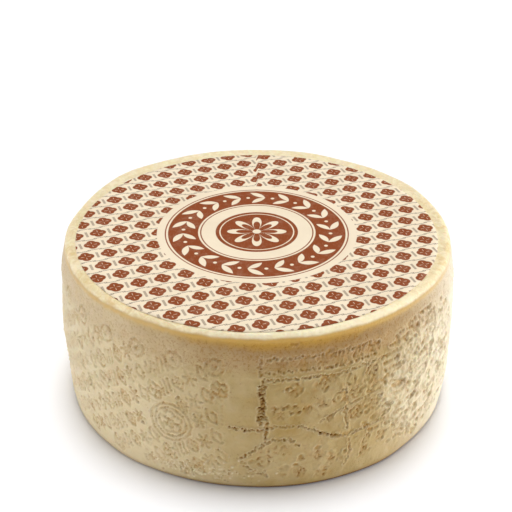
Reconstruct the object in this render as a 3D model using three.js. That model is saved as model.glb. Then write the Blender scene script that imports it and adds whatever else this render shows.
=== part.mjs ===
// A whole wheel of hard sheep's-milk cheese, lying flat, with a round paper label on its top face.
// Millimetres, +Z up. The origin is the middle of the base, and the front of the wheel faces -Y.
import * as THREE from "three";

// ---- Driving dimensions -------------------------------------------------------------------------
const WHEEL_RADIUS = 160; // at the belly, the widest height
const WHEEL_HEIGHT = 137;
const BELLY_HEIGHT = 71;
const TOP_RADIUS = 154.6; // where the side meets the rounding of the top edge
const FOOT_RADIUS = 155.1; // where the side meets the rounding of the foot edge
const TOP_EDGE_RADIUS = 5.2;
const FOOT_EDGE_RADIUS = 1.8;

const LABEL_RADIUS = 143.6;
const LABEL_SHIFT_X = -0.6; // the paper was laid on slightly off the middle
const LABEL_SHIFT_Y = -5.6;
const LABEL_THICKNESS = 0.4;
const CONTACT_GAP = 0.3; // between the top face and the paper

// ---- How finely the surface is divided ----------------------------------------------------------
const WHEEL_COLUMNS = 190; // round the wheel
const SIDE_ROWS = 21; // up the side
const TOP_EDGE_ROWS = 3;
const FOOT_EDGE_ROWS = 2;
const FRONT_PACKING = 0.34; // 0 spaces the columns evenly, more draws them towards the front
const LABEL_SEGMENTS = 128;

// ---- Unevenness of a hand-moulded wheel ---------------------------------------------------------
// Each swelling or dent: bearing from the front (degrees, + to the right), height, how far it
// spreads round (degrees) and up (mm), and how far it stands out (mm, - for a dent).
const BULGES = [
  { bearing: -132, height: 132, spread: 9, rise: 24, out: 2.4 },
  { bearing: -106, height: 134, spread: 9, rise: 26, out: -1.4 },
  { bearing: 121, height: 134, spread: 9, rise: 30, out: 1.5 },
  { bearing: 150, height: 136, spread: 8, rise: 26, out: -1.9 },
  { bearing: 180, height: 136, spread: 13, rise: 34, out: -1.1 },
  { bearing: -84, height: 117, spread: 8, rise: 12, out: 1.0 },
  { bearing: -79, height: 64, spread: 8, rise: 10, out: 0.8 },
  { bearing: -77, height: 36, spread: 8, rise: 10, out: -0.8 },
  { bearing: 76, height: 27, spread: 8, rise: 12, out: 0.8 },
  { bearing: 81, height: 84, spread: 9, rise: 14, out: -0.5 },
  { bearing: -39, height: 2, spread: 8, rise: 16, out: 1.0 },
  { bearing: 38, height: 2, spread: 8, rise: 16, out: 1.1 },
  { bearing: -7, height: 0, spread: 13, rise: 20, out: -0.8 },
];

// Broad, shallow lobes all round: how many, how high, and where the first one stands (degrees).
const LOBES = [
  { count: 2, out: 0.25, bearing: 40 },
  { count: 5, out: 0.2, bearing: 13 },
  { count: 9, out: 0.14, bearing: 27 },
];

// Rough seams left by the edges of the marking band: [bearing, height] points, half width, depth.
const SEAMS = [
  { path: [[1.2, 119], [0.6, 100], [1.8, 88], [0.9, 72], [2.4, 63]], halfWidth: 3.4, depth: 1.7 },
  { path: [[-7.6, 59], [-3.5, 58], [1.6, 57]], halfWidth: 3.6, depth: 1.5 },
  { path: [[2.4, 63], [2.1, 50]], halfWidth: 2.8, depth: 0.8 },
  { path: [[11, 60], [18, 48], [23, 43]], halfWidth: 3.6, depth: 1.8 },
  { path: [[24, 42], [28, 44.5], [33, 45], [37, 51], [40, 57]], halfWidth: 3.2, depth: 1.4 },
  { path: [[16.5, 61], [19.5, 66], [23.5, 70], [23.8, 50]], halfWidth: 2.8, depth: 0.8 },
  { path: [[24.6, 38], [25.2, 27], [24.2, 14]], halfWidth: 2.8, depth: 0.8 },
  { path: [[-4.5, 30], [0, 41], [5, 49], [9, 47], [10.5, 42]], halfWidth: 3, depth: 0.9 },
  { path: [[-4.5, 30], [-1, 20], [3, 13]], halfWidth: 3, depth: 0.9 },
];

// Crumpled patches, where the damp rind dragged as the band came off: middle, half extents, depth.
const CRUMPLES = [
  { bearing: 51, height: 72, spread: 19, rise: 52, depth: 2.2 },
  { bearing: 152, height: 60, spread: 22, rise: 42, depth: 2.0 },
  { bearing: -118, height: 68, spread: 17, rise: 40, depth: 1.8 },
];
const CRUMPLE_PITCH = 11; // from one fold to the next
const CRUMPLE_SEED = 3;

// Shallow texture of the whole pressed area.
const TEXTURE_PITCH = 13;
const TEXTURE_DEPTH = 0.5;
const TEXTURE_SEED = 8;
const PRESSED_TOP = 122; // the pressed area ends under a smooth band
const PRESSED_FADE = 6;

const RIND_COLOUR = 0xd6bf8b;
const PAPER_COLOUR = 0xeddcc0;

// ---- Noise and distances on the unrolled side ---------------------------------------------------
const RADIANS = Math.PI / 180;
const MM_PER_DEGREE = WHEEL_RADIUS * RADIANS;
const FULL_TURN = 360;

function hash(column, row, seed) {
  // One repeatable number from 0 to 1 for a whole-numbered place.
  const mixed = Math.sin(column * 127.1 + row * 311.7 + seed * 74.7) * 43758.5453;
  return mixed - Math.floor(mixed);
}

function smoothNoise(bearing, height, pitch, seed) {
  // Numbers from 0 to 1 that vary smoothly over the side and meet where a full turn closes.
  const columns = Math.round((FULL_TURN * MM_PER_DEGREE) / pitch);
  const across = ((bearing + FULL_TURN) / FULL_TURN) * columns;
  const up = height / pitch;
  const column = Math.floor(across);
  const row = Math.floor(up);
  const ease = (t) => t * t * (3 - 2 * t);
  const u = ease(across - column);
  const v = ease(up - row);
  const at = (i, j) => hash((column + i) % columns, row + j, seed);
  const low = at(0, 0) * (1 - u) + at(1, 0) * u;
  const high = at(0, 1) * (1 - u) + at(1, 1) * u;
  return low * (1 - v) + high * v;
}

function turnBetween(bearing, other) {
  // The shorter way round from one bearing to another, in degrees.
  return ((bearing - other + 540) % FULL_TURN) - 180;
}

function bell(offset) {
  return Math.exp(-offset * offset);
}

function distanceToPath(bearing, height, path) {
  // Millimetres over the unrolled side from a place to the nearest point of a path.
  const place = new THREE.Vector2(bearing * MM_PER_DEGREE, height);
  let nearest = Infinity;
  for (let i = 1; i < path.length; i += 1) {
    const start = new THREE.Vector2(path[i - 1][0] * MM_PER_DEGREE, path[i - 1][1]);
    const run = new THREE.Vector2(path[i][0] * MM_PER_DEGREE, path[i][1]).sub(start);
    const along = THREE.MathUtils.clamp(place.clone().sub(start).dot(run) / run.lengthSq(), 0, 1);
    nearest = Math.min(nearest, place.distanceTo(start.addScaledVector(run, along)));
  }
  return nearest;
}

// ---- Relief of the side -------------------------------------------------------------------------
function outOfRound(bearing, height) {
  let out = 0;
  for (const lobe of LOBES) {
    out += lobe.out * Math.cos(lobe.count * (bearing - lobe.bearing) * RADIANS);
  }
  for (const bulge of BULGES) {
    const round = bell(turnBetween(bearing, bulge.bearing) / bulge.spread);
    out += bulge.out * round * bell((height - bulge.height) / bulge.rise);
  }
  return out;
}

function seamDepth(bearing, height) {
  let deepest = 0;
  for (const seam of SEAMS) {
    const offset = distanceToPath(bearing, height, seam.path) / seam.halfWidth;
    deepest = Math.max(deepest, seam.depth * Math.max(0, 1 - offset * offset));
  }
  return deepest;
}

function crumpleRelief(bearing, height) {
  // Folds and pits of the crumpled patches: sharp crests between rounded hollows.
  const fold = smoothNoise(bearing, height, CRUMPLE_PITCH, CRUMPLE_SEED);
  const crest = 1 - 2 * Math.abs(2 * fold - 1);
  let relief = 0;
  for (const patch of CRUMPLES) {
    const round = turnBetween(bearing, patch.bearing) / patch.spread;
    const up = (height - patch.height) / patch.rise;
    const inside = THREE.MathUtils.smoothstep(1 - Math.hypot(round, up), 0, 0.35);
    relief += 0.5 * patch.depth * inside * crest;
  }
  return relief;
}

function pressedTexture(bearing, height) {
  const fade = THREE.MathUtils.smoothstep(PRESSED_TOP - height, 0, PRESSED_FADE);
  return TEXTURE_DEPTH * fade * (smoothNoise(bearing, height, TEXTURE_PITCH, TEXTURE_SEED) - 0.5);
}

function sideRelief(bearing, height) {
  // How far the rind stands out of the smooth barrel, in millimetres.
  const marks = pressedTexture(bearing, height) + crumpleRelief(bearing, height);
  return outOfRound(bearing, height) + marks - seamDepth(bearing, height);
}

// ---- Smooth form --------------------------------------------------------------------------------
function barrelRadius(height) {
  // Two parabolas that meet at the belly.
  const sideTop = WHEEL_HEIGHT - TOP_EDGE_RADIUS;
  if (height < BELLY_HEIGHT) {
    const down = (BELLY_HEIGHT - height) / (BELLY_HEIGHT - FOOT_EDGE_RADIUS);
    return WHEEL_RADIUS - (WHEEL_RADIUS - FOOT_RADIUS) * down * down;
  }
  const up = (height - BELLY_HEIGHT) / (sideTop - BELLY_HEIGHT);
  return WHEEL_RADIUS - (WHEEL_RADIUS - TOP_RADIUS) * up * up;
}

function wheelProfile() {
  // From the middle of the base, round the foot edge, up the barrel and over the top edge.
  const points = [new THREE.Vector2(0, 0)];
  for (let i = 0; i < FOOT_EDGE_ROWS; i += 1) {
    const turn = (i / FOOT_EDGE_ROWS) * (Math.PI / 2);
    const radius = FOOT_RADIUS - FOOT_EDGE_RADIUS * (1 - Math.sin(turn));
    points.push(new THREE.Vector2(radius, FOOT_EDGE_RADIUS * (1 - Math.cos(turn))));
  }
  const sideTop = WHEEL_HEIGHT - TOP_EDGE_RADIUS;
  for (let i = 0; i <= SIDE_ROWS; i += 1) {
    const height = FOOT_EDGE_RADIUS + ((sideTop - FOOT_EDGE_RADIUS) * i) / SIDE_ROWS;
    points.push(new THREE.Vector2(barrelRadius(height), height));
  }
  for (let i = 1; i <= TOP_EDGE_ROWS; i += 1) {
    const turn = (i / TOP_EDGE_ROWS) * (Math.PI / 2);
    const radius = TOP_RADIUS - TOP_EDGE_RADIUS * (1 - Math.cos(turn));
    points.push(new THREE.Vector2(radius, sideTop + TOP_EDGE_RADIUS * Math.sin(turn)));
  }
  points.push(new THREE.Vector2(0, WHEEL_HEIGHT));
  return points;
}

// ---- Pieces -------------------------------------------------------------------------------------
function wheelGeometry() {
  const geometry = new THREE.LatheGeometry(wheelProfile(), WHEEL_COLUMNS);
  geometry.rotateX(Math.PI / 2); // the lathe turns about Y: stand it up, its seam to the front
  const position = geometry.attributes.position;
  const place = new THREE.Vector3();
  for (let i = 0; i < position.count; i += 1) {
    place.fromBufferAttribute(position, i);
    const radius = Math.hypot(place.x, place.y);
    if (radius > 1) {
      const even = Math.atan2(place.x, -place.y);
      const bearing = even - FRONT_PACKING * Math.sin(even);
      const reach = radius + sideRelief(bearing / RADIANS, place.z);
      position.setXY(i, reach * Math.sin(bearing), -reach * Math.cos(bearing));
    }
  }
  return geometry;
}

function centreOverOrigin(geometry) {
  // The uneven outline's bounding box is brought over the origin, and returned as a shift.
  geometry.computeBoundingBox();
  const middle = geometry.boundingBox.getCenter(new THREE.Vector3());
  geometry.translate(-middle.x, -middle.y, 0);
  return middle;
}

function buildWheel() {
  const geometry = wheelGeometry();
  const shift = centreOverOrigin(geometry);
  const rind = new THREE.MeshStandardMaterial({ color: RIND_COLOUR, roughness: 0.55, metalness: 0 });
  const wheel = new THREE.Mesh(geometry, rind);
  wheel.name = "cheese_wheel";
  return { wheel, shift };
}

function buildLabel(shift) {
  const disc = new THREE.CylinderGeometry(LABEL_RADIUS, LABEL_RADIUS, LABEL_THICKNESS, LABEL_SEGMENTS);
  disc.rotateX(Math.PI / 2);
  const paper = new THREE.MeshStandardMaterial({ color: PAPER_COLOUR, roughness: 0.85, metalness: 0 });
  const label = new THREE.Mesh(disc, paper);
  label.name = "top_label";
  const height = WHEEL_HEIGHT + CONTACT_GAP + LABEL_THICKNESS / 2;
  label.position.set(LABEL_SHIFT_X - shift.x, LABEL_SHIFT_Y - shift.y, height);
  return label;
}

const pecorino = new THREE.Group();
const { wheel, shift } = buildWheel();
pecorino.add(wheel, buildLabel(shift));

export default pecorino;
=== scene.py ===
"""Dresses a whole wheel of hard sheep's-milk cheese that lies flat, with a round paper label on top.

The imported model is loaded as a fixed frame. The wheel's rind and the paper are built in that frame,
each in place of its own node, and lit and seen as a studio photograph would show them.

Forms and pressed marks are given in millimetres, and places on the side as a bearing and a height.
The bearing is in degrees from the front (-Y), positive towards +X, and the height is above the base.
Meshes, materials, lights and the camera are in metres.
"""

from __future__ import annotations

import logging
import math
from dataclasses import dataclass, field, replace
from enum import Enum, auto
from typing import Iterator, Sequence, Union

import bpy
import numpy as np
from mathutils import Matrix, Vector


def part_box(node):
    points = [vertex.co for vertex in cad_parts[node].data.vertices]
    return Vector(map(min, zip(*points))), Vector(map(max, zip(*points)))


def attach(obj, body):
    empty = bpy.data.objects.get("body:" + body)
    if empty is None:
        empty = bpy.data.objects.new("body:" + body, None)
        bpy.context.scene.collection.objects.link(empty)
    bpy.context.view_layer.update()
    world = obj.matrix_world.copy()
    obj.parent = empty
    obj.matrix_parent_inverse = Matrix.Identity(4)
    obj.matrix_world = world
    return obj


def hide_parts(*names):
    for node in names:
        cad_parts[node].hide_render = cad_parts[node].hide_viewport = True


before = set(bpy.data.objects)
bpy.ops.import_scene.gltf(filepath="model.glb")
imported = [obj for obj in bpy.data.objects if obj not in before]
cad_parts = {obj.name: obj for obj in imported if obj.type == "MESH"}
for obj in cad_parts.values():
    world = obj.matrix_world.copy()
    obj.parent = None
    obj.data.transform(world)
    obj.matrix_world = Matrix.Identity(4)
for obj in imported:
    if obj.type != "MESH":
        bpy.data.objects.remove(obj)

LOG = logging.getLogger("cheese")
MM = 0.001
FULL_TURN = 360.0
PHOTO_SIDE = 512.0
SENSOR_WIDTH = 36.0

Paint = tuple[float, float, float, float]
Span = tuple[float, float]
Value = Union["Field", bpy.types.NodeSocket, bpy.types.Material, float, str, Sequence[float]]
Layer = tuple["Field", Value]


def channel(value: float) -> float:
    """One display channel from 0 to 255 as a linear one, by the sRGB curve."""
    share = value / 255.0
    return share / 12.92 if share <= 0.04045 else ((share + 0.055) / 1.055) ** 2.4


def linear(red: float, green: float, blue: float) -> Paint:
    """The linear colour that shaders take, from display channels from 0 to 255."""
    return channel(red), channel(green), channel(blue), 1.0


# ---- Arithmetic on node sockets -------------------------------------------------------------------
class Field:
    """A number that varies over a surface, kept as the output socket of a node.

    Arithmetic on fields adds Math nodes to the tree, in shader and in geometry trees alike.
    """

    def __init__(self, tree: bpy.types.NodeTree, socket: bpy.types.NodeSocket) -> None:
        """Keeps the tree that new nodes are added to, and the output that holds the number."""
        self.tree = tree
        self.socket = socket

    def _node(self, kind: str, values: Sequence[Value], **options: str) -> Field:
        """The first output of a new node."""
        return Field(self.tree, add_node(self.tree, kind, values, **options).outputs[0])

    def _math(self, operation: str, *others: Field | float) -> Field:
        """The result of a Math node on this number and further ones."""
        return self._node("ShaderNodeMath", (self, *others), operation=operation)

    def __add__(self, other: Field | float) -> Field:
        """Sum."""
        return self._math("ADD", other)

    def __sub__(self, other: Field | float) -> Field:
        """Difference."""
        return self._math("SUBTRACT", other)

    def __rsub__(self, other: float) -> Field:
        """Difference from a plain number."""
        return self * -1.0 + other

    def __mul__(self, other: Field | float) -> Field:
        """Product."""
        return self._math("MULTIPLY", other)

    def __truediv__(self, other: Field | float) -> Field:
        """Quotient."""
        return self._math("DIVIDE", other)

    __radd__ = __add__
    __rmul__ = __mul__

    def absolute(self) -> Field:
        """Size without its sign."""
        return self._math("ABSOLUTE")

    def floor(self) -> Field:
        """Whole part."""
        return self._math("FLOOR")

    def sine(self) -> Field:
        """Sine of the number in radians."""
        return self._math("SINE")

    def cosine(self) -> Field:
        """Cosine of the number in radians."""
        return self._math("COSINE")

    def power(self, exponent: float) -> Field:
        """The number raised to a power."""
        return self._math("POWER", exponent)

    def least(self, other: Field | float) -> Field:
        """The smaller of two."""
        return self._math("MINIMUM", other)

    def most(self, other: Field | float) -> Field:
        """The larger of two."""
        return self._math("MAXIMUM", other)

    def remainder(self, step: float) -> Field:
        """What is left past the last whole step, never negative."""
        return self._math("FLOORED_MODULO", step)

    def angle_from(self, other: Field) -> Field:
        """The angle whose tangent is this number over another, in radians."""
        return self._math("ARCTAN2", other)

    def length_with(self, other: Field) -> Field:
        """The length of the arrow with these two parts."""
        return (self * self + other * other)._math("SQRT")

    def ramp(self, low: float, high: float, start: float = 0.0, end: float = 1.0) -> Field:
        """Eases from start, where the number is below low, to end, where it is above high."""
        values = (self, low, high, start, end)
        return self._node("ShaderNodeMapRange", values, interpolation_type="SMOOTHSTEP")

    def bell(self, centre: float, spread: float) -> Field:
        """A smooth bump that is 1 at the centre and nearly 0 past twice the spread."""
        offset = (self - centre) / spread
        return (offset * offset * -1.0)._math("EXPONENT")


def feed(tree: bpy.types.NodeTree, slot: bpy.types.NodeSocket, value: Value) -> None:
    """Gives a node's input a field, a socket or a plain value.

    Args:
        tree: The node tree.
        slot: The input to feed.
        value: A field or a socket to link, or a value to set.
    """
    source = value.socket if isinstance(value, Field) else value
    if isinstance(source, bpy.types.NodeSocket):
        tree.links.new(source, slot)
    else:
        slot.default_value = source


def add_node(
    tree: bpy.types.NodeTree,
    kind: str,
    values: Sequence[Value] | dict[str, Value] = (),
    **options: str | bool,
) -> bpy.types.Node:
    """Adds a node to a tree, sets its options and feeds its inputs.

    Args:
        tree: The node tree.
        kind: The node's type.
        values: What its inputs get, by their names or in the order of those in use.
        options: The node's options by name.

    Returns:
        The node.
    """
    node = tree.nodes.new(kind)
    for name, option in options.items():
        setattr(node, name, option)
    if isinstance(values, dict):
        pairs = [(node.inputs[name], value) for name, value in values.items()]
    else:
        pairs = list(zip([slot for slot in node.inputs if slot.enabled], values))
    for slot, value in pairs:
        feed(tree, slot, value)
    return node


class Recipe:
    """A material under construction: its tree, its shader and the fields that feed it."""

    def __init__(self, name: str) -> None:
        """Starts a material with one shader.

        Args:
            name: The material's name.
        """
        self.material = bpy.data.materials.new(name)
        self.material.use_nodes = True
        self.tree = self.material.node_tree
        self.shader = self.tree.nodes["Principled BSDF"]
        self.place = add_node(self.tree, "ShaderNodeTexCoord").outputs["Object"]

    def axes(self) -> Iterator[Field]:
        """The place on the object, in metres along X, Y and Z."""
        node = add_node(self.tree, "ShaderNodeSeparateXYZ", (self.place,))
        return (Field(self.tree, socket) for socket in node.outputs)

    def attribute(self, name: str) -> Field:
        """A number stored on the mesh under a name."""
        node = add_node(self.tree, "ShaderNodeAttribute", attribute_name=name)
        return Field(self.tree, node.outputs["Fac"])

    def noise(
        self,
        size: float,
        detail: float = 2.0,
        roughness: float = 0.5,
        warp: float = 0.0,
        stretch: Sequence[float] = (1.0, 1.0, 1.0),
    ) -> Field:
        """Cloudy noise on the object's own place.

        Args:
            size: The size of its largest clouds, in metres.
            detail: How many finer layers it has.
            roughness: How strong the finer layers are.
            warp: How far its shapes are pulled out of round.
            stretch: Divides the size along each axis.

        Returns:
            A number around 0.5, mostly from 0.2 to 0.8.
        """
        mapping = add_node(self.tree, "ShaderNodeMapping", {"Vector": self.place, "Scale": stretch})
        node = add_node(self.tree, "ShaderNodeTexNoise", {
            "Vector": mapping.outputs[0],
            "Scale": 1.0 / size,
            "Detail": detail,
            "Roughness": roughness,
            "Distortion": warp,
        })
        return Field(self.tree, node.outputs["Fac"])

    def cells(self, size: float) -> Field:
        """The distance to the nearest of many scattered points, as a share of their spacing."""
        node = add_node(self.tree, "ShaderNodeTexVoronoi", {"Vector": self.place, "Scale": 1.0 / size})
        return Field(self.tree, node.outputs["Distance"])

    def coat(self, colour: Value, layers: Sequence[Layer]) -> bpy.types.NodeSocket:
        """Lays colours over a first one, one after another.

        Args:
            colour: The first colour.
            layers: How much of each further colour shows, from 0 to 1, and the colour.

        Returns:
            The mixed colour's socket.
        """
        for share, over in layers:
            values = (share, colour, over)
            node = add_node(self.tree, "ShaderNodeMix", values, data_type="RGBA", clamp_factor=True)
            colour = next(socket for socket in node.outputs if socket.enabled)
        return colour

    def tilt(self, layers: Sequence[tuple[Field, float]]) -> bpy.types.NodeSocket:
        """Turns heights into a tilt of the surface, the coarsest first.

        Args:
            layers: The height fields, and what a height of 1 stands for in each, in metres.

        Returns:
            The tilted normal's socket.
        """
        below: dict[str, Value] = {}
        for height, depth in layers:
            node = add_node(self.tree, "ShaderNodeBump", {"Height": height, "Distance": depth, **below})
            below = {"Normal": node.outputs[0]}
        return below["Normal"]

    def finish(self, values: dict[str, Value]) -> bpy.types.Material:
        """Feeds the shader and hands the material over.

        Args:
            values: What the shader's inputs get, by name.

        Returns:
            The finished material.
        """
        for name, value in values.items():
            feed(self.tree, self.shader.inputs[name], value)
        return self.material


# ---- Finishes -------------------------------------------------------------------------------------
@dataclass(frozen=True)
class Spot:
    """Where a spot of rind lies, as fields that its layers of colour share.

    `bearing` is in radians and `z` in metres. `flank` is 0 in front and 1 on the sides, and `side` is
    1 on the side and 0 on top. `wobble` and `fray` are slow and fine noise around zero.
    """

    bearing: Field
    z: Field
    flank: Field
    side: Field
    wobble: Field
    fray: Field


@dataclass(frozen=True)
class RindFinish:
    """The waxy, hand-marked rind: tan in front, creamy on the sides, partly from painted sheen, and golden
    under the top edge.

    The spans are heights above the base, over which a colour comes in or goes out.
    """

    tan: Paint = linear(175, 145, 79)
    cream: Paint = linear(228, 209, 168)
    limb_sheen: Paint = linear(239, 230, 208)
    blush: Paint = linear(180, 144, 101)
    ochre: Paint = linear(194, 148, 56)
    rust: Paint = linear(138, 102, 56)
    honey: Paint = linear(230, 190, 108)
    top: Paint = linear(251, 241, 209)
    wax: Paint = linear(220, 194, 138)
    # The two browns below also serve as painted shade: at the foot, in the foot's contact shadow line and
    # in hollows.
    pit_brown_and_shade: Paint = linear(154, 104, 26)
    scar: Paint = linear(98, 54, 4)
    hollow_shade: Paint = linear(186, 136, 60)
    front: float = 0.3
    pale_foot: Span = (15 * MM, 70 * MM)
    blush_in: Span = (100 * MM, 116 * MM)
    speck_in: Span = (98 * MM, 114 * MM)
    speck_out: Span = (127 * MM, 134 * MM)
    rust_height: float = 125 * MM
    ochre_in: Span = (120.5 * MM, 131 * MM)
    honey_height: float = 131.6 * MM
    wax_in: Span = (132.0 * MM, 134.8 * MM)
    side_out: Span = (129 * MM, 133 * MM)
    dull_out: Span = (128 * MM, 133 * MM)
    rim_grain_in: Span = (130 * MM, 134 * MM)
    foot_shade: Span = (0.0, 5 * MM)
    foot_shadow_line: Span = (0.8 * MM, 3.0 * MM)
    recess_depth: Span = (-1.3 * MM, -0.1 * MM)
    subsurface: float = 0.3
    subsurface_radius: tuple[float, float, float] = (1.0, 0.55, 0.2)
    subsurface_scale: float = 2 * MM
    specular: float = 0.25

    def spot(self, recipe: Recipe) -> Spot:
        """Works out the shared fields.

        Args:
            recipe: The rind's recipe.

        Returns:
            The fields.
        """
        x, y, z = recipe.axes()
        bearing = x.angle_from(y * -1.0)
        flank = (bearing - self.front).absolute().ramp(0.1, 1.1)
        flank = flank * bearing.absolute().ramp(1.5, 2.4, 1.0, 0.5)
        side = z.ramp(*self.side_out, 1.0, 0.0)
        wobble = recipe.noise(38 * MM, 2.0) - 0.5
        fray = (recipe.noise(6 * MM, 3.0, 0.6) - 0.5) * (7 * MM)
        return Spot(bearing, z, flank, side, wobble, fray)

    def ground(self, recipe: Recipe, spot: Spot) -> list[Layer]:
        """The rind's broad shades: creamy clouds, creamy sides that are partly painted sheen, a painted
        whitish sheen on the limbs and a rosy upper part.

        Args:
            recipe: The rind's recipe.
            spot: The shared fields.

        Returns:
            The layers of colour.
        """
        turn = spot.bearing.absolute()
        sine = spot.bearing.sine()
        cloud = recipe.noise(26 * MM, 4.0, 0.6, warp=0.4).ramp(0.3, 0.72)
        low = spot.z.ramp(*self.pale_foot, 0.14, 0.0)
        # Painted sheen: the limbs are whitened where the side turns away from the front, more on the right.
        limb_sheen_share = turn.ramp(0.6, 1.4) * turn.ramp(1.4, 2.1, 1.0, 0.4) * (sine * 0.3 + 0.45)
        rosy = (spot.z + spot.wobble * (9 * MM)).ramp(*self.blush_in)
        rosy = rosy * (0.35 + 0.5 * recipe.noise(9 * MM, 3.0))
        rosy = rosy * (1.0 - spot.flank * (sine * 0.18 + 0.64))
        return [
            # The sides are creamier partly by the rind's own colour and partly by painted sheen.
            (cloud * 0.24 + spot.flank * 0.85 + low, self.cream),
            (limb_sheen_share, self.limb_sheen),
            (rosy, self.blush),
        ]

    def under_edge(self, recipe: Recipe, spot: Spot) -> list[Layer]:
        """The golden strip under the top edge, with rust below it, and the waxy edge itself.

        Args:
            recipe: The rind's recipe.
            spot: The shared fields.

        Returns:
            The layers of colour.
        """
        warm = spot.bearing.bell(0.15, 0.6) * 0.65 + 0.35
        under = (spot.z + spot.fray).bell(self.rust_height, 4.5 * MM) * (1.0 - spot.flank) * 0.34
        band = spot.z + spot.wobble * (8 * MM) + spot.fray - (1.0 - warm) * (12 * MM)
        band = band.ramp(*self.ochre_in) * (warm * 0.5 + 0.5)
        band = band * spot.bearing.sine().ramp(0.6, 0.9, 1.0, 0.3)
        speck = recipe.noise(1.9 * MM, 3.0, 0.75).ramp(0.5, 0.64)
        speck = speck * (spot.z + spot.wobble * (9 * MM)).ramp(*self.speck_in)
        speck = speck * spot.z.ramp(*self.speck_out, 1.0, 0.0)
        line = (spot.z + spot.fray * 0.3).bell(self.honey_height, 2.0 * MM)
        edge = spot.z + (recipe.noise(12 * MM, 3.0) - 0.5) * (2.5 * MM)
        streak = recipe.noise(7 * MM, 4.0, 0.65, warp=1.0).ramp(0.3, 0.7, 0.3, 1.0)
        streak = streak * (0.35 + 0.55 * spot.flank)
        return [
            (under, self.rust),
            (band, self.ochre),
            (speck * (0.66 - 0.36 * spot.flank), self.pit_brown_and_shade),
            (line * 0.5, self.honey),
            (edge.ramp(*self.wax_in), recipe.coat(self.top, [(streak, self.wax)])),
        ]

    def pressed(self, recipe: Recipe, ruffle: Field, crumple: Field, recess: Field) -> list[Layer]:
        """The colours that the marking band and the folds leave: painted shade in folds and hollows,
        painted highlights on crests and lips, pale crumbs, and pits darkened by stain and painted shade.

        Args:
            recipe: The rind's recipe.
            ruffle: Noise as wide as the folds.
            crumple: How far the rind is crumpled.
            recess: How deep it is pressed.

        Returns:
            The layers of colour.
        """
        # Pits and scars are darkened partly by stain in the rind and partly by painted shade in the
        # hollows.
        dark = recipe.attribute("stain")
        patchy = recipe.noise(4.5 * MM, 2.0).ramp(0.36, 0.56, 0.35, 1.0)
        return [
            # Painted shade in the low parts of the folds and painted highlight on their crests, from the
            # noise that also tilts them.
            (ruffle.ramp(0.3, 0.46, 1.0, 0.0) * crumple * 0.24, self.hollow_shade),
            (ruffle.ramp(0.46, 0.62, 0.3, 0.48) * crumple * crumple, self.top),
            # Painted shade in recesses, stronger where the rind is pressed deeper.
            (recess * 0.52, self.hollow_shade),
            # Pale crumbs, and a painted highlight along the raised lips round the pits.
            (recipe.attribute("pale"), self.top),
            ((dark * 1.5).least(1.0) * patchy * 0.6, self.pit_brown_and_shade),
            (dark.ramp(0.5, 0.95) * patchy, self.scar),
        ]

    def material(self) -> bpy.types.Material:
        """Builds the rind's material.

        Returns:
            The material, on the object's own place and on the stored relief.
        """
        recipe = Recipe("rind")
        spot = self.spot(recipe)
        pores = recipe.cells(2.6 * MM).ramp(0.1, 0.32, 1.0, 0.0) * recipe.noise(11 * MM).ramp(0.45, 0.7)
        ruffle = recipe.noise(5.5 * MM, 1.5, 0.5, warp=0.8, stretch=(1.0, 1.0, 0.8))
        crumple = recipe.attribute("crumple") * spot.side
        relief = recipe.attribute("relief")
        recess = relief.ramp(*self.recess_depth, 1.0, 0.0)
        colour = recipe.coat(self.tan, [
            *self.ground(recipe, spot),
            *self.under_edge(recipe, spot),
            (pores * spot.side * 0.28, self.pit_brown_and_shade),
            # Painted contact shadow: the rind is darkened towards the base, and a dark line runs along the
            # foot, weaker on the sides.
            (spot.z.ramp(*self.foot_shade, 0.45, 0.0), self.pit_brown_and_shade),
            (spot.z.ramp(*self.foot_shadow_line, 1.0, 0.0) * (1.0 - spot.flank * 0.95), self.scar),
            *self.pressed(recipe, ruffle, crumple, recess),
        ])
        normal = recipe.tilt([
            (relief, 0.5),
            (recipe.noise(1.6 * MM, 4.0, 0.62), 0.38 * MM),
            (recipe.noise(6 * MM, 3.0, 0.6) * spot.z.ramp(*self.rim_grain_in), 1.4 * MM),
            (pores, -0.25 * MM),
            (ruffle * crumple, 0.6 * MM),
        ])
        dull = spot.z.ramp(*self.dull_out, 0.08, 0.0)
        return recipe.finish({
            "Base Color": colour,
            "Roughness": recipe.noise(14 * MM, 3.0).ramp(0.3, 0.7, 0.38, 0.54) + dull + recess * 0.4,
            "Normal": normal,
            "Subsurface Weight": self.subsurface,
            "Subsurface Radius": self.subsurface_radius,
            "Subsurface Scale": self.subsurface_scale,
            "Specular IOR Level": self.specular,
        })


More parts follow.
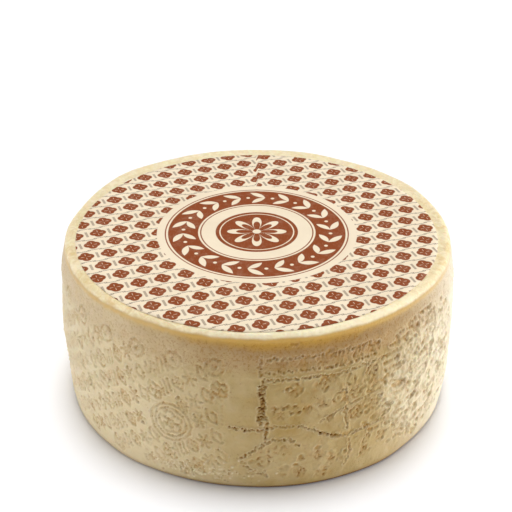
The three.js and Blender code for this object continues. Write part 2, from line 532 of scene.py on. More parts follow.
@dataclass(frozen=True)
class PrintedPaperFinish:
    """Cream label paper, printed in terracotta with small dashes of grey-brown.

    A wreath rings a medallion in the middle, and rows of flowers fill the rest of the sheet.
    """

    centre: Span = (-0.6 * MM, -5.6 * MM)
    paper: Paint = linear(241, 225, 198)
    shade: Paint = linear(226, 208, 180)
    terracotta: Paint = linear(139, 65, 21)
    umber: Paint = linear(106, 80, 62)
    edge: float = 0.25 * MM
    turn: float = math.radians(21)
    motif_step: float = 18.4 * MM
    row_share: float = 0.93
    motif_radius: float = 6.6 * MM
    petal_share: float = 0.22
    vein: Span = (1.3 * MM, 4.0 * MM)
    stroke_half: Span = (1.0 * MM, 4.2 * MM)
    bar_half: Span = (5.8 * MM, 1.0 * MM)
    bead_pitch: float = 1.7 * MM
    medallion: float = 33 * MM
    button: float = 3.4 * MM
    wreath: Span = (47 * MM, 71 * MM)
    rim_gap: Span = (1.6 * MM, 2.6 * MM)
    leaf_pairs: int = 18
    leaf_slant: float = math.radians(38)
    leaf_place: Span = (-1.0 * MM, 4.6 * MM)
    leaf_half: Span = (7.6 * MM, 2.7 * MM)
    berry_along: float = 7.4 * MM
    berry_radius: float = 1.5 * MM
    clearing: float = 80 * MM
    crease_shift: float = 8 * MM
    roughness: float = 0.72
    specular: float = 0.25

    def inside(self, distance: Field, limit: float) -> Field:
        """1 where a distance is under a limit, with a soft printed edge."""
        return distance.ramp(limit - self.edge, limit + self.edge, 1.0, 0.0)

    def ring(self, radius: Field, inner: float, outer: float) -> Field:
        """1 between two radii."""
        return self.inside(radius, outer) * (1.0 - self.inside(radius, inner))

    def dash(self, u: Field, v: Field, half: Span) -> Field:
        """1 in a small rectangle of the given half sizes."""
        return self.inside(u.absolute(), half[0]) * self.inside(v.absolute(), half[1])

    def motifs(self, x: Field, y: Field) -> tuple[Field, Field]:
        """Staggered rows of four-petalled flowers, with short dashes between them.

        Args:
            x: Place across the sheet, in metres from its middle.
            y: Place up the sheet.

        Returns:
            The share of flower and the share of dash.
        """
        across = x * math.cos(self.turn) + y * math.sin(self.turn)
        up = y * math.cos(self.turn) - x * math.sin(self.turn)
        row_step = self.motif_step * self.row_share
        stagger = (up / row_step).floor().remainder(2.0) * (0.5 * self.motif_step)
        u = (across + stagger).remainder(self.motif_step) - 0.5 * self.motif_step
        v = up.remainder(row_step) - 0.5 * row_step
        radius = u.length_with(v)
        twice = v.angle_from(u) * 2.0
        notch = self.petal_share * self.motif_radius
        petal = twice.cosine().absolute() * notch + (self.motif_radius - notch)
        vein = twice.sine().absolute().ramp(0.0, 0.3, 1.0, 0.0) * self.ring(radius, *self.vein)
        flower = self.inside(radius - petal, 0.0) * (1.0 - vein * 0.8)
        stroke = self.dash(u.absolute() - 0.5 * self.motif_step, v, self.stroke_half)
        bar = self.dash(u, v.absolute() - 0.5 * row_step, self.bar_half)
        beads = ((u + v) * (2 * math.pi / self.bead_pitch)).sine().ramp(-0.5, 0.3, 0.35, 1.0)
        return flower, stroke.most(bar) * beads

    def wreath_ink(self, radius: Field, angle: Field) -> Field:
        """A band with pairs of pale leaves and berries all round, between two thin lines.

        Args:
            radius: Distance from the middle of the sheet.
            angle: Angle round it, in radians.

        Returns:
            The share of ink.
        """
        inner, outer = self.wreath
        near, far = self.rim_gap
        middle = 0.5 * (inner + outer)
        pair_angle = 2 * math.pi / self.leaf_pairs
        along = (angle.remainder(pair_angle) - 0.5 * pair_angle) * middle
        across = radius - middle
        pale = self.inside((along - self.berry_along).length_with(across), self.berry_radius)
        for side in (1.0, -1.0):
            slant = side * self.leaf_slant
            a = along - self.leaf_place[0]
            b = across - side * self.leaf_place[1]
            long_way = (a * math.cos(slant) + b * math.sin(slant)) / self.leaf_half[0]
            short_way = (b * math.cos(slant) - a * math.sin(slant)) / self.leaf_half[1]
            pale = pale.most((long_way * long_way + short_way.absolute()).ramp(0.9, 1.05, 1.0, 0.0))
        band = self.ring(radius, inner, outer) * (1.0 - pale)
        line = self.ring(radius, inner - far, inner - near)
        return band.most(line).most(self.ring(radius, outer + near, outer + far))

    def rosette_ink(self, radius: Field, angle: Field) -> Field:
        """A plain round medallion with an eight-petalled rosette left pale in it.

        Args:
            radius: Distance from the middle of the sheet.
            angle: Angle round it, in radians.

        Returns:
            The share of ink.
        """
        wave = (angle * 4.0).cosine().absolute().power(0.7)
        petal = self.inside(radius - wave * (0.72 * self.medallion), 0.0)
        core = self.inside(radius - wave * (0.5 * self.medallion), 0.0)
        pale = petal * (1.0 - core) + self.inside(radius, self.button)
        thread = self.ring(radius, self.medallion * 0.88, self.medallion * 0.91)
        return self.inside(radius, self.medallion) * (1.0 - pale.most(thread))

    def material(self) -> bpy.types.Material:
        """Builds the paper's material.

        Returns:
            The material, on the object's own place.
        """
        recipe = Recipe("printed_paper")
        x, y, _ = recipe.axes()
        x = x - self.centre[0]
        y = y - self.centre[1]
        radius = x.length_with(y)
        angle = y.angle_from(x)
        behind = (x * -1.0).angle_from(y)
        slip = behind.ramp(-0.012, 0.012) * behind.ramp(0.15, 1.3, 1.0, 0.0) * self.crease_shift
        flower, dash = self.motifs(x, y + slip)
        outside = 1.0 - self.inside(radius, self.clearing)
        ink = (flower * outside).most(self.wreath_ink(radius, angle).most(self.rosette_ink(radius, angle)))
        fibre = recipe.noise(1.2 * MM, 3.0, 0.6, stretch=(1.0, 0.3, 1.0))
        worn = recipe.noise(7 * MM, 4.0, 0.65).ramp(0.25, 0.55, 0.92, 1.0)
        colour = recipe.coat(self.paper, [
            (recipe.noise(30 * MM, 3.0).ramp(0.35, 0.7) * 0.35, self.shade),
            (dash * outside * 0.8, self.umber),
            (ink * worn * fibre.ramp(0.2, 0.5, 0.93, 1.0), self.terracotta),
        ])
        return recipe.finish({
            "Base Color": colour,
            "Roughness": self.roughness,
            "Normal": recipe.tilt([(fibre, 0.08 * MM), (recipe.noise(9 * MM, 2.0), 0.5 * MM)]),
            "Specular IOR Level": self.specular,
        })


@dataclass(frozen=True)
class FloorFinish:
    """The pale studio floor."""

    pale: Paint = linear(249, 250, 254)
    cloud_size: float = 400 * MM
    roughness: Span = (0.78, 0.82)

    def material(self) -> bpy.types.Material:
        """Builds the floor's material, a little uneven in its shine.

        Returns:
            The material.
        """
        recipe = Recipe("pale_floor")
        soft = recipe.noise(self.cloud_size, 2.0).ramp(0.3, 0.7, *self.roughness)
        return recipe.finish({"Base Color": self.pale, "Roughness": soft})


# ---- Form of the wheel ----------------------------------------------------------------------------
@dataclass(frozen=True)
class Bulge:
    """A swelling of the side, or a dent where `out` is negative."""

    bearing: float
    height: float
    spread: float
    rise: float
    out: float


@dataclass(frozen=True)
class Lobe:
    """One broad, shallow wave round the whole wheel."""

    count: int
    out: float
    bearing: float


@dataclass(frozen=True)
class Crumple:
    """A patch where the damp rind dragged into folds, and how many short dashes the band cut in it."""

    bearing: float
    height: float
    spread: float
    rise: float
    strength: float
    dashes: int


def turn_between(bearing: np.ndarray, other: float) -> np.ndarray:
    """The shorter way round from one bearing to others, in degrees."""
    return (bearing - other + 1.5 * FULL_TURN) % FULL_TURN - 0.5 * FULL_TURN


def ease(value: np.ndarray, low: float, high: float) -> np.ndarray:
    """Goes smoothly from 0 at low to 1 at high."""
    share = np.clip((value - low) / (high - low), 0.0, 1.0)
    return share * share * (3.0 - 2.0 * share)


@dataclass(frozen=True)
class WheelForm:
    """The wheel's true shape: a barrel with rounded edges, the foot's very tight, and uneven sides."""

    radius: float = 160
    height: float = 137
    belly_height: float = 71
    top_radius: float = 154.6
    foot_radius: float = 156.4
    top_edge: float = 5.2
    foot_edge: float = 2.4
    bulges: tuple[Bulge, ...] = (
        Bulge(-132, 132, 9, 24, 2.4),
        Bulge(-106, 134, 9, 26, -1.4),
        Bulge(121, 134, 9, 30, 1.5),
        Bulge(150, 136, 8, 26, -1.9),
        Bulge(180, 136, 13, 34, -1.1),
        Bulge(-84, 117, 8, 12, 1.0),
        Bulge(-79, 64, 8, 10, 0.8),
        Bulge(-77, 36, 8, 10, -0.8),
        Bulge(76, 27, 8, 12, 0.8),
        Bulge(81, 84, 9, 14, -0.5),
        Bulge(-39, 2, 8, 16, 1.0),
        Bulge(38, 2, 8, 16, 1.1),
        Bulge(-7, 0, 13, 20, -0.8),
    )
    lobes: tuple[Lobe, ...] = (
        Lobe(2, 0.25, 40),
        Lobe(5, 0.2, 13),
        Lobe(9, 0.14, 27),
    )

    @property
    def degree(self) -> float:
        """The length of one degree round the belly."""
        return math.radians(self.radius)

    def barrel_radius(self, height: np.ndarray) -> np.ndarray:
        """The smooth side's radius, two parabolas that meet at the belly.

        Args:
            height: Heights above the base.

        Returns:
            The radius at each height.
        """
        side_top = self.height - self.top_edge
        down = (self.belly_height - height) / (self.belly_height - self.foot_edge)
        up = (height - self.belly_height) / (side_top - self.belly_height)
        lower = self.radius - (self.radius - self.foot_radius) * down * down
        upper = self.radius - (self.radius - self.top_radius) * up * up
        return np.where(height < self.belly_height, lower, upper)

    def out_of_round(self, bearing: np.ndarray, height: np.ndarray) -> np.ndarray:
        """How far the hand-moulded side stands out of the smooth barrel.

        Args:
            bearing: Bearings in degrees.
            height: Heights above the base.

        Returns:
            The distance out, at each place.
        """
        out = np.zeros_like(bearing)
        for lobe in self.lobes:
            out += lobe.out * np.cos(np.radians(lobe.count * (bearing - lobe.bearing)))
        for bulge in self.bulges:
            round_way = turn_between(bearing, bulge.bearing) / bulge.spread
            up_way = (height - bulge.height) / bulge.rise
            out += bulge.out * np.exp(-round_way**2 - up_way**2)
        return out

    def drum(self, bearing: np.ndarray, height: np.ndarray) -> np.ndarray:
        """Places in metres on a plain drum of the belly's radius, on which the pegs are set out."""
        angle = np.radians(bearing)
        return np.stack([self.radius * np.sin(angle), -self.radius * np.cos(angle), height], axis=-1) * MM


@dataclass(frozen=True)
class Scar:
    """A rough line left by an edge of the marking band, along (bearing, height) points.

    `reach` and `sink` are the size of its pits, `scatter` how far they stray from the line,
    `stain` how dark they are, by stain and by painted shade, `step` how much the rind left
    of the line stands higher, `pitch` how far apart they are and `cut` how long the nicks on its left are.
    """

    path: tuple[Span, ...]
    reach: float
    sink: float
    scatter: float
    stain: float
    step: float
    pitch: float
    cut: float = 0.0

    def offsets(
        self, form: WheelForm, bearing: np.ndarray, height: np.ndarray
    ) -> tuple[np.ndarray, np.ndarray]:
        """How far places on the side lie from the line, and on which side of it.

        Args:
            form: The wheel's form.
            bearing: Bearings in degrees.
            height: Heights above the base.

        Returns:
            The distance over the side, and 1 to the left of the line or -1 to its right.
        """
        nearest = np.full(bearing.shape, np.inf)
        left = np.ones(bearing.shape)
        for (b0, h0), (b1, h1) in zip(self.path, self.path[1:]):
            run = np.array([(b1 - b0) * form.degree, h1 - h0])
            px = turn_between(bearing, b0) * form.degree
            py = height - h0
            along = np.clip((px * run[0] + py * run[1]) / (run @ run), 0.0, 1.0)
            away = np.hypot(px - along * run[0], py - along * run[1])
            closer = away < nearest
            nearest = np.where(closer, away, nearest)
            left = np.where(closer, np.sign(run[0] * py - run[1] * px), left)
        return nearest, left


SCARS: tuple[Scar, ...] = (
    Scar(((1.2, 119), (0.5, 112), (1.2, 104), (1.0, 96)), 0.9, 1, 0.5, 1, 0.2, 1.3),
    Scar(((1.3, 97), (1.1, 91), (1.7, 85), (1.3, 78), (0.9, 64)), 0.85, 1.7, 0.8, 1.2, -0.5, 0.9, 2.8),
    Scar(((1.7, 84), (1.6, 74), (2.7, 63), (2.3, 50)), 0.9, 1.3, 0.2, 1, 0.3, 1.2),
    Scar(((-7.6, 59.5), (-4.0, 58.4), (-1.6, 57.2), (1.7, 57.2)), 0.85, 1.6, 0.4, 1.6, 0.6, 1.3),
    Scar(((2.0, 60.3), (9.2, 60.2)), 0.85, 1.1, 0.2, 0.77, 0.2, 1.9),
    Scar(((10.8, 60.2), (13.4, 56.8), (18.3, 48.2), (23, 43.4)), 0.9, 1.7, 0.5, 1.6, 1.2, 1.0),
    Scar(((23.6, 42), (28, 44), (33.2, 44.8), (36.6, 50.6), (40.2, 57.5)), 0.9, 1.6, 0.1, 1, 1.6, 0.8),
    Scar(((40.2, 57.5), (44, 68), (48, 80)), 0.9, 1.3, 0.3, 0.88, 1.2, 0.9),
    Scar(((48, 80), (50.5, 94), (49, 107), (46, 115)), 1.1, 1.2, 0.5, 0.6, 1.0, 1.2),
    Scar(((16.4, 61.0), (19.4, 65.6), (23.3, 70.2)), 0.9, 1.4, 0.1, 0.77, 1.5, 0.9),
    Scar(((23.3, 70.2), (29, 73), (34, 76)), 0.9, 1, 0.2, 0.66, 0.4, 1.2),
    Scar(((23.2, 86), (24.4, 75), (23.5, 63), (24.3, 51)), 0.9, 1.2, 0.4, 0.8, -0.8, 1.1),
    Scar(((25.4, 38), (25.8, 27), (24.6, 14)), 0.9, 1.1, 0.3, 0.66, -0.8, 1.3),
    Scar(
        ((-4.4, 30.5), (-1.6, 36.5), (1.5, 44), (5, 48.6), (8.7, 47.5), (10.8, 41)),
        0.95, 1.25, 0.4, 0.95, -0.4, 1.7,
    ),
    Scar(((-4.4, 30.5), (-3.4, 24.5), (-0.5, 18), (3, 13)), 0.95, 1.1, 0.4, 0.8, 0.3, 1.8),
    Scar(((2.6, 117), (9, 117.6), (20, 117.4), (31, 118.4)), 1.0, 1.1, 0.25, 0.66, 0.3, 2.6),
    Scar(((2.4, 107.4), (12, 107.6), (24, 106.6), (33, 107.6)), 1.0, 1.1, 0.3, 0.66, -0.3, 2.6),
    Scar(
        ((2.6, 101.2), (8, 100.6), (15, 101.8), (19, 99.8), (27, 101.2), (40, 103.4)),
        0.95, 1.5, 0.2, 0.77, 1.2, 1.3,
    ),
    Scar(((-9.4, 118), (-9.0, 96), (-9.2, 62)), 1.0, 0.34, 0.3, 0.22, 0.5, 2.6),
    Scar(((152, 110), (153, 84), (150.5, 58), (151.5, 30)), 1.3, 1.9, 0.8, 0.8, 0.6, 1.0),
    Scar(((-118, 98), (-112, 84), (-104, 78), (-96, 62)), 1.2, 1.8, 0.5, 1, 0.8, 1.0),
)


# ---- Pressed marks --------------------------------------------------------------------------------
class MarkKind(Enum):
    """The shapes of the marking band."""

    SUN = auto()
    DIAMOND = auto()
    WAVES = auto()
    LEAF = auto()
    STAR = auto()
    FLOWER = auto()
    CLOVER = auto()
    DOUBLE_RING = auto()
    HATCH = auto()


def ring_line(radius: float, middle: Span = (0.0, 0.0)) -> np.ndarray:
    """Points round a circle, the last on the first."""
    angles = np.radians(np.linspace(0.0, FULL_TURN, 25))
    return np.stack([middle[0] + radius * np.cos(angles), middle[1] + radius * np.sin(angles)], -1)


def petals(count: int, radius: float, away: float) -> list[np.ndarray]:
    """Small rings in a circle."""
    turns = np.radians(np.arange(count) * FULL_TURN / count + 90)
    return [ring_line(radius, (away * math.cos(turn), away * math.sin(turn))) for turn in turns]


def strokes_of(kind: MarkKind) -> list[np.ndarray]:
    """The lines of a mark, in a square from -0.5 to 0.5.

    Args:
        kind: Which mark.

    Returns:
        One array of points for each line.
    """
    along = np.linspace(-0.48, 0.48, 15)
    blade = 0.3 * np.cos(along * math.pi / 0.96)
    wave = 0.13 * np.sin(along * 13)
    lozenge = np.array([(0, -0.5), (0.42, 0), (0, 0.5), (-0.42, 0), (0, -0.5)])
    spokes = np.radians([30, 90, 150])
    return {
        MarkKind.SUN: [ring_line(0.5), ring_line(0.08)],
        MarkKind.DIAMOND: [lozenge, 0.3 * lozenge],
        MarkKind.WAVES: [np.stack([along, y + wave], -1) for y in (-0.22, 0.22)],
        MarkKind.LEAF: [np.stack([side * blade, along], -1) for side in (-1, 1)],
        MarkKind.STAR: [np.outer((-0.46, 0.46), (math.cos(turn), math.sin(turn))) for turn in spokes],
        MarkKind.FLOWER: petals(5, 0.2, 0.3),
        MarkKind.CLOVER: petals(4, 0.22, 0.28),
        MarkKind.DOUBLE_RING: [ring_line(0.5), ring_line(0.39)],
        MarkKind.HATCH: [np.array([(x - 0.15, -0.4), (x + 0.15, 0.4)]) for x in (-0.34, 0.0, 0.34)],
    }[kind]


@dataclass(frozen=True)
class Mark:
    """One pressed shape at a place on the side.

    `reach`, `sink` and `stain` are those of its pegs, `squeeze` narrows it, and `wear` is
    how much of it is rubbed out where it is weakest.
    """

    kind: MarkKind
    bearing: float
    height: float
    size: float
    tilt: float = 0.0
    sink: float = 1.6
    stain: float = 0.95
    reach: float = 0.95
    squeeze: float = 1.0
    wear: float = 0.85


@dataclass(frozen=True)
class RowPatch:
    """A part of the side with slanted rows of marks, from one bearing to another.

    `head` is the bearing and height of one row's ring, and `free` a place that is kept free, with its
    radius.
    """

    left: float
    right: float
    head: Span
    free: tuple[float, float, float] = (0.0, 0.0, 0.0)


@dataclass(frozen=True)
class Gouge:
    """A pit, or a short level row of pits, dug from one bearing to another."""

    start: float
    end: float
    height: float
    count: int
    reach: float
    sink: float
    stain: float


@dataclass(frozen=True)
class CrumbPatch:
    """A patch of pale crumbs pressed on to the rind near the foot."""

    bearing: float
    height: float
    spread: float
    rise: float
    count: int


SEAL = (-23.5, 55)
SEAL_STYLE = {"stain": 0.28, "reach": 1.1, "wear": 0.4}
SINGLE_MARKS: tuple[Mark, ...] = (
    Mark(MarkKind.DOUBLE_RING, *SEAL, 33, 20, **SEAL_STYLE),
    Mark(MarkKind.FLOWER, *SEAL, 20, 8, **SEAL_STYLE),
    Mark(MarkKind.WAVES, 6.0, 112.5, 8, sink=1.0),
    Mark(MarkKind.DIAMOND, 12.0, 112, 8, sink=1.0, stain=0.5),
    Mark(MarkKind.STAR, 17.0, 113, 8, stain=0.5),
    Mark(MarkKind.HATCH, 22.5, 112.5, 10, 4),
    Mark(MarkKind.HATCH, 27.5, 113.5, 9, 4),
    Mark(MarkKind.WAVES, 32.5, 113, 9, 10),
    Mark(MarkKind.CLOVER, 9.6, 91.5, 11),
    Mark(MarkKind.DIAMOND, 17.7, 93.5, 13, squeeze=0.8),
    Mark(MarkKind.LEAF, 25.2, 92, 12, 15),
    Mark(MarkKind.FLOWER, 31.5, 93, 11, 15),
    Mark(MarkKind.WAVES, 5.4, 75.5, 10),
    Mark(MarkKind.WAVES, 9.3, 75, 10),
    Mark(MarkKind.WAVES, 5.6, 70.5, 9, sink=1.0),
    Mark(MarkKind.DIAMOND, 13.2, 74.5, 8),
    Mark(MarkKind.STAR, 17.2, 77, 9),
    Mark(MarkKind.SUN, 21.6, 79.5, 9),
    Mark(MarkKind.CLOVER, 26.5, 80.5, 10),
    Mark(MarkKind.LEAF, 31.5, 81.5, 12, -25),
    Mark(MarkKind.FLOWER, 27.0, 62, 11),
    Mark(MarkKind.DIAMOND, 32.4, 64, 10, 20),
    Mark(MarkKind.HATCH, 19.4, 62.5, 5, 40),
    Mark(MarkKind.DIAMOND, 16.5, 29, 9, sink=1.0),
    Mark(MarkKind.WAVES, 3.6, 37, 13, 30, sink=1.0),
    Mark(MarkKind.SUN, 1.5, 28, 9, sink=1.1),
    Mark(MarkKind.LEAF, 7.0, 38, 9, sink=1.0),
    Mark(MarkKind.HATCH, 31.0, 33, 9, 12, squeeze=0.7),
    Mark(MarkKind.HATCH, 30.4, 22, 9, 8, squeeze=0.7),
    Mark(MarkKind.HATCH, 36.5, 30, 10, -30, squeeze=0.6),
    Mark(MarkKind.STAR, 20.3, 22, 8, sink=1.0),
    Mark(MarkKind.FLOWER, 11.5, 15, 9, sink=0.9),
    Mark(MarkKind.WAVES, 17.5, 10.5, 9, sink=1.1),
)
ROW_PATCHES = (
    RowPatch(-78, -9, (-11, 110), (*SEAL, 20)),
    RowPatch(-176, -82, (-92, 110), (-118, 68, 34)),
    RowPatch(79, 147, (140, 110)),
)
GOUGES = (
    Gouge(12.3, 12.3, 28, 1, reach=1.1, sink=0.9, stain=1.8),
    Gouge(8.7, 10.3, 128.6, 9, reach=0.9, sink=1.0, stain=1.4),
)
CRUMB_PATCHES = (
    CrumbPatch(-20, 12, 11, 7, 120),
    CrumbPatch(-9, 14, 12, 8, 60),
)


@dataclass
class MarkBand:
    """Everything that the marking band left on the side, as pegs that sank into the rind.

    Pegs are rows of numbers: X, Y and Z on the drum, reach and sink, all in metres, and stain.
    """

    form: WheelForm
    seed: int = 11
    dot_step: float = 0.85
    bead_step: float = 2.4
    wear_step: float = 9
    jitter: float = 0.28
    side: Span = (3.5, 130)
    row_mark: Mark = Mark(MarkKind.SUN, 0, 0, 12.6, 32.5, sink=1.4, stain=0.26, reach=1.1, wear=0.45)
    row_motifs: tuple[MarkKind, ...] = (
        MarkKind.LEAF,
        MarkKind.STAR,
        MarkKind.DIAMOND,
        MarkKind.HATCH,
        MarkKind.CLOVER,
    )
    row_heights: Span = (8, 117)
    row_step: float = 17.1
    longest_row: int = 26
    mark_step: float = 11.2
    mark_size: float = 13.6
    squeeze: float = 0.78
    nick_fall: float = 0.3
    dash_leans: tuple[float, ...] = (0.0, 15.0, 80.0, -30.0)
    dash_half: Span = (0.4, 2.6)
    dash_sink: Span = (0.7, 1.8)
    dash_reach: Span = (1.2, 2.1)
    worn_pitch: float = 5.4
    worn_gap: float = 6.4
    worn_wave: float = 1.6
    worn_climb: float = 0.16
    worn_kept: float = 0.7
    worn_pair: Span = (0.8, 3.2)
    worn_sink: Span = (0.5, 1.5)
    worn_reach: float = 1.5
    worn_stain_and_shade: float = 0.14
    crumb_reach: float = 0.95
    draw: np.random.Generator = field(init=False)

    def __post_init__(self) -> None:
        """Seeds the random draws."""
        self.draw = np.random.default_rng(self.seed)

    def spread_along(self, line: np.ndarray, step: float) -> tuple[np.ndarray, np.ndarray]:
        """Even points along a line.

        Args:
            line: The line's points over the unrolled side.
            step: The wanted distance between the new points.

        Returns:
            The points and how far along the line each is.
        """
        steps = np.hypot(*np.diff(line, axis=0).T)
        along = np.concatenate([[0.0], np.cumsum(steps)])
        count = max(2, int(round(along[-1] / step)) + 1)
        wanted = np.linspace(0.0, along[-1], count)
        return np.stack([np.interp(wanted, along, line[:, axis]) for axis in (0, 1)], -1), wanted

    def ripple(self, along: np.ndarray, step: float) -> np.ndarray:
        """A wave from 0 to 1 along a line, with a random start."""
        return np.cos(along * (2 * math.pi / step) + self.draw.uniform(0, 6)) * 0.5 + 0.5

    def pegs_at(
        self,
        dots: np.ndarray,
        reach: float,
        sink: np.ndarray | float,
        stain: np.ndarray | float,
        jitter: float,
    ) -> np.ndarray:
        """Pegs at places on the side, each a little unlike the others.

        Args:
            dots: Places over the unrolled side: how far round from the front, and height.
            reach: How wide a peg's pit is, from its middle.
            sink: How deep it went.
            stain: How dark its floor is, partly by stain and partly by painted shade.
            jitter: How far each strays from its place.

        Returns:
            The pegs that lie on the side proper.
        """
        count = len(dots)
        around = dots[:, 0] + self.draw.normal(0.0, jitter, count)
        height = dots[:, 1] + self.draw.normal(0.0, jitter, count)
        sink = sink * self.draw.uniform(0.6, 1.3, count)
        reach = reach * self.draw.uniform(0.8, 1.25, count)
        stain = stain * self.draw.uniform(0.5, 1.2, count)
        places = self.form.drum(around / self.form.degree, height)
        pegs = np.column_stack([places, reach * MM, sink * MM, stain])
        return pegs[(height > self.side[0]) & (height < self.side[1])]

    def mark_pegs(self, mark: Mark) -> Iterator[np.ndarray]:
        """The pegs of one mark: shallow grooves with deeper beads, faint in places.

        Args:
            mark: The mark.

        Yields:
            The pegs of each stroke.
        """
        turn = math.radians(mark.tilt)
        spin = np.array([[math.cos(turn), math.sin(turn)], [-math.sin(turn), math.cos(turn)]])
        middle = (mark.bearing * self.form.degree, mark.height)
        strength = self.draw.uniform(0.7, 1.2)
        for stroke in strokes_of(mark.kind):
            shape = (stroke * (mark.size * mark.squeeze, mark.size)) @ spin
            dots, along = self.spread_along(shape, self.dot_step)
            bead = self.ripple(along, self.bead_step)
            left = 1.0 - mark.wear * self.ripple(along, self.wear_step)
            sink = mark.sink * strength * (0.4 + 0.6 * bead**2) * left
            yield self.pegs_at(dots + middle, mark.reach, sink, mark.stain * left, self.jitter)

    def scar_pegs(self, scar: Scar) -> Iterator[np.ndarray]:
        """The pits of one scar, and the nicks that leave it to the left.

        Args:
            scar: The scar.

        Yields:
            The pegs of the line, and then of each nick.
        """
        line = np.array(scar.path) * (self.form.degree, 1.0)
        dots, _ = self.spread_along(line, scar.pitch)
        yield self.pegs_at(dots, scar.reach, scar.sink, scar.stain, self.jitter + scar.scatter)
        for dot in dots[::3] if scar.cut else ():
            nick = np.linspace(0.0, scar.cut * self.draw.uniform(0.3, 1.0), 4)
            cut = dot - np.outer(nick, (1.0, self.nick_fall))
            yield self.pegs_at(cut, scar.reach, 0.8 * scar.sink, scar.stain, 0.0)

    def slanted_rows(self, patch: RowPatch) -> Iterator[Mark]:
        """Rows of marks that climb to the right, each headed by a ring near the top.

        Args:
            patch: The part of the side that they fill.

        Yields:
            The marks, row by row.
        """
        slope = math.radians(self.row_mark.tilt)
        between = self.row_step / math.sin(slope) / self.form.degree
        first = -int(self.form.height / self.row_step) - 1
        last = math.ceil((patch.head[0] - patch.left) / between) + 1
        bearing_free, height_free, radius_free = patch.free
        for row in range(first, last):
            for place in range(self.longest_row):
                back = place * self.mark_step
                bearing = patch.head[0] - row * between - back * math.cos(slope) / self.form.degree
                height = patch.head[1] - back * math.sin(slope)
                away = math.hypot((bearing - bearing_free) * self.form.degree, height - height_free)
                inside = patch.left < bearing < patch.right
                inside = inside and self.row_heights[0] < height < self.row_heights[1]
                mark = replace(self.row_mark, bearing=bearing, height=height)
                if not inside or away < radius_free:
                    continue
                if place:
                    kind = self.row_motifs[(place + 3 * row - 1) % len(self.row_motifs)]
                    size = self.mark_size * self.draw.uniform(0.92, 1.08)
                    mark = replace(mark, kind=kind, size=size, squeeze=self.squeeze)
                yield mark

    def dragged(self, patch: Crumple) -> Iterator[np.ndarray]:
        """Short deep dashes and pits in a patch where the band slid.

        Args:
            patch: The patch.

        Yields:
            The pegs of each dash.
        """
        for _ in range(patch.dashes):
            turn = self.draw.uniform(0, 2 * math.pi)
            share = math.sqrt(self.draw.uniform(0, 1))
            around = (patch.bearing + patch.spread * share * math.cos(turn)) * self.form.degree
            height = patch.height + patch.rise * share * math.sin(turn)
            lean = math.radians(self.draw.choice(self.dash_leans) + self.draw.normal(0, 14))
            half = self.draw.uniform(*self.dash_half)
            ends = np.outer((-half, half), (math.cos(lean), math.sin(lean)))
            dots, _ = self.spread_along(ends, self.dot_step)
            sink = self.draw.uniform(*self.dash_sink) * (1.15 - 0.5 * share) * (0.4 + 0.6 * patch.strength)
            reach = self.draw.uniform(*self.dash_reach)
            yield self.pegs_at(dots + (around, height), reach, sink, self.worn_stain_and_shade, self.jitter)

    def worn_rows(self, patch: Crumple) -> np.ndarray:
        """Rows of small pits, all that is left of the marks where the rind crumpled.

        Args:
            patch: The crumpled patch.

        Returns:
            The pits.
        """
        around = np.arange(-patch.spread, patch.spread, self.worn_pitch / self.form.degree)
        above = np.arange(-patch.rise, patch.rise, self.worn_gap)
        turn, lift = np.meshgrid(around, above)
        lift = lift + self.worn_wave * np.sin(np.radians(turn * 9 + lift)) + self.worn_climb * turn
        inside = np.hypot(turn / patch.spread, lift / patch.rise) < 1.0
        kept = inside & (self.draw.uniform(size=turn.shape) < self.worn_kept)
        pits = np.column_stack([(patch.bearing + turn[kept]) * self.form.degree, patch.height + lift[kept]])
        dots = np.repeat(pits, 2, axis=0)
        dots[1::2, 0] += self.draw.uniform(*self.worn_pair, len(pits))
        sink = np.repeat(self.draw.uniform(*self.worn_sink, len(pits)), 2)
        return self.pegs_at(dots, self.worn_reach, sink, self.worn_stain_and_shade, 1.6 * self.jitter)

    def gouge_pegs(self, gouge: Gouge) -> np.ndarray:
        """The pits of one gouge.

        Args:
            gouge: The gouge.

        Returns:
            The pits.
        """
        around = np.linspace(gouge.start, gouge.end, gouge.count) * self.form.degree
        dots = np.column_stack([around, np.full(gouge.count, gouge.height)])
        return self.pegs_at(dots, gouge.reach, gouge.sink, gouge.stain, 0.0)

    def crumbs(self, patch: CrumbPatch) -> np.ndarray:
        """Crumbs, most of them pale and raised, the others fallen out.

        Args:
            patch: The patch of crumbs.

        Returns:
            The crumbs, as pegs that stand out where their sink is negative.
        """
        bearing = patch.bearing + patch.spread * self.draw.normal(0, 0.5, patch.count)
        height = patch.height + patch.rise * self.draw.normal(0, 0.5, patch.count)
        raised = self.draw.uniform(size=patch.count) < 0.6
        sink = np.where(raised, -0.5, 0.8)
        stain = np.where(raised, -0.6, 0.5)
        dots = np.column_stack([bearing * self.form.degree, height])
        return self.pegs_at(dots, self.crumb_reach, sink, stain, 0.0)

    def pegs(self, crumples: Sequence[Crumple]) -> np.ndarray:
        """All the pegs of the wheel.

        Args:
            crumples: The patches where the band slid, the most worn one first.

        Returns:
            The pegs that press the rind.
        """
        front, back, right = (list(self.slanted_rows(patch)) for patch in ROW_PATCHES)
        fields: list[np.ndarray] = []
        for mark in (*front, *SINGLE_MARKS, *back, *right):
            fields += self.mark_pegs(mark)
        for scar in SCARS:
            fields += self.scar_pegs(scar)
        for patch in crumples:
            fields += self.dragged(patch)
        fields.append(self.worn_rows(crumples[0]))
        fields += [self.gouge_pegs(gouge) for gouge in GOUGES]
        fields += [self.crumbs(patch) for patch in CRUMB_PATCHES]
        return np.concatenate(fields)


# ---- Meshes and objects ---------------------------------------------------------------------------
def add_object(name: str, data: bpy.types.ID) -> bpy.types.Object:
    """Links a mesh, a light or a camera into the scene as an object at the origin.

    Args:
        name: The object's name.
        data: The mesh, the light or the camera.

    Returns:
        The object.
    """
    made = bpy.data.objects.new(name, data)
    bpy.context.scene.collection.objects.link(made)
    return made


